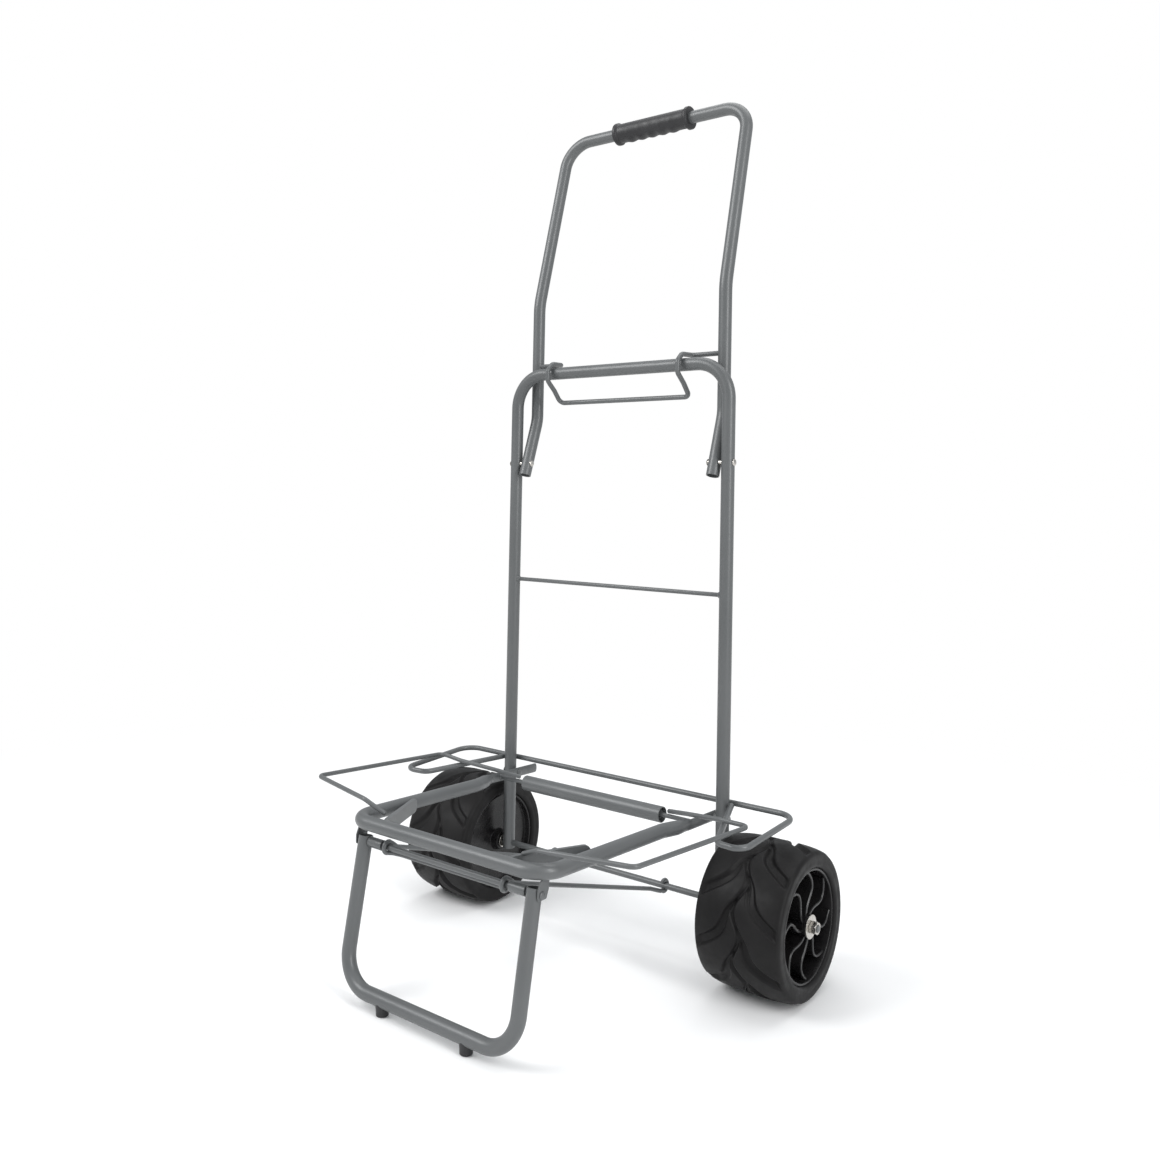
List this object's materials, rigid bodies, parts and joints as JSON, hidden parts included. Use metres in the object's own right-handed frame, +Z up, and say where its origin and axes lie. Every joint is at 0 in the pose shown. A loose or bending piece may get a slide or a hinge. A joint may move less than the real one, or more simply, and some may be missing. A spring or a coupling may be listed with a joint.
{
  "type": "folding luggage cart",
  "caption": "Folding hand cart of bent steel tube with wide chunky wheels, a fold-down handle with a latch, a low platform with wire wings, and a folding front leg.",
  "frame": {"origin": "on the floor, under the centre of the cart's bounding box", "axes": "+Z up, -Y to the front where the platform reaches out, +X to the cart's own left, along the axle"},
  "size_m": [0.5736, 0.4167, 1.065],
  "materials": {
    "grey_paint": "satin grey powder coat",
    "zinc_steel": "bright zinc plate",
    "tyre_rubber": "matt moulded rubber",
    "rim_plastic": "semi-gloss moulded plastic",
    "black_rubber": "matt black rubber"
  },
  "bodies": {
    "frame": {"upright_frame": "grey_paint", "mid_cross_wire": "grey_paint", "wheel_guard_wire": "grey_paint", "handle_rivet_left": "zinc_steel", "handle_rivet_right": "zinc_steel", "platform_rivet_left": "grey_paint", "platform_rivet_right": "grey_paint", "axle": "grey_paint", "spacer_washer_left": "zinc_steel", "spacer_washer_right": "zinc_steel", "axle_washer_left": "zinc_steel", "axle_washer_right": "zinc_steel", "axle_nut_left": "zinc_steel", "axle_nut_right": "zinc_steel"},
    "wheel_left": {"tyre_left": "tyre_rubber", "rim_left": "rim_plastic"},
    "wheel_right": {"tyre_right": "tyre_rubber", "rim_right": "rim_plastic"},
    "handle": {"handle_tube": "grey_paint", "handle_grip": "black_rubber"},
    "latch": {"latch_bail": "grey_paint"},
    "platform": {"platform_tube": "grey_paint", "rear_cross_tube": "grey_paint", "rear_cross_rod": "grey_paint", "corner_gusset_left": "grey_paint", "corner_gusset_right": "grey_paint", "leg_bracket_left": "grey_paint", "leg_bracket_right": "grey_paint", "leg_cross_rod": "grey_paint", "rod_sleeve_left": "grey_paint", "rod_sleeve_right": "grey_paint"},
    "wing_left": {"wing_left": "grey_paint"},
    "wing_right": {"wing_right": "grey_paint"},
    "front_leg": {"front_leg_tube": "grey_paint", "rubber_foot_left": "black_rubber", "rubber_foot_right": "black_rubber"},
    "brace": {"leg_brace": "grey_paint"}
  },
  "joints": [
    {"name": "handle_fold", "type": "hinge", "parent": "frame", "child": "handle", "pos_m": [0, 0.1164, 0.595], "axis": [-1, 0, 0], "range_deg": [0, 160]},
    {"name": "latch_lift", "type": "hinge", "parent": "handle", "child": "latch", "pos_m": [0, 0.1344, 0.728], "axis": [-1, 0, 0], "range_deg": [0, 110]},
    {"name": "platform_fold", "type": "hinge", "parent": "frame", "child": "platform", "pos_m": [0, 0.1164, 0.1793], "axis": [-1, 0, 0], "range_deg": [0, 50]},
    {"name": "wing_fold_left", "type": "hinge", "parent": "platform", "child": "wing_left", "pos_m": [0.114, 0.079, 0.1863], "axis": [-0.0557, -0.9978, 0.0374], "range_deg": [0, 130]},
    {"name": "wing_fold_right", "type": "hinge", "parent": "platform", "child": "wing_right", "pos_m": [-0.114, 0.079, 0.1863], "axis": [-0.0557, 0.9978, -0.0374], "range_deg": [0, 130]},
    {"name": "leg_fold", "type": "hinge", "parent": "platform", "child": "front_leg", "pos_m": [0, -0.1751, 0.1645], "axis": [1, 0, 0], "range_deg": [0, 76]},
    {"name": "brace_swing", "type": "hinge", "parent": "frame", "child": "brace", "pos_m": [0, 0.1164, 0.0833], "axis": [1, 0, 0], "range_deg": [0, 28]},
    {"name": "wheel_spin_left", "type": "hinge", "parent": "frame", "child": "wheel_left", "pos_m": [0, 0.1164, 0.0833], "axis": [1, 0, 0], "continuous": true},
    {"name": "wheel_spin_right", "type": "hinge", "parent": "frame", "child": "wheel_right", "pos_m": [0, 0.1164, 0.0833], "axis": [1, 0, 0], "continuous": true}
  ]
}
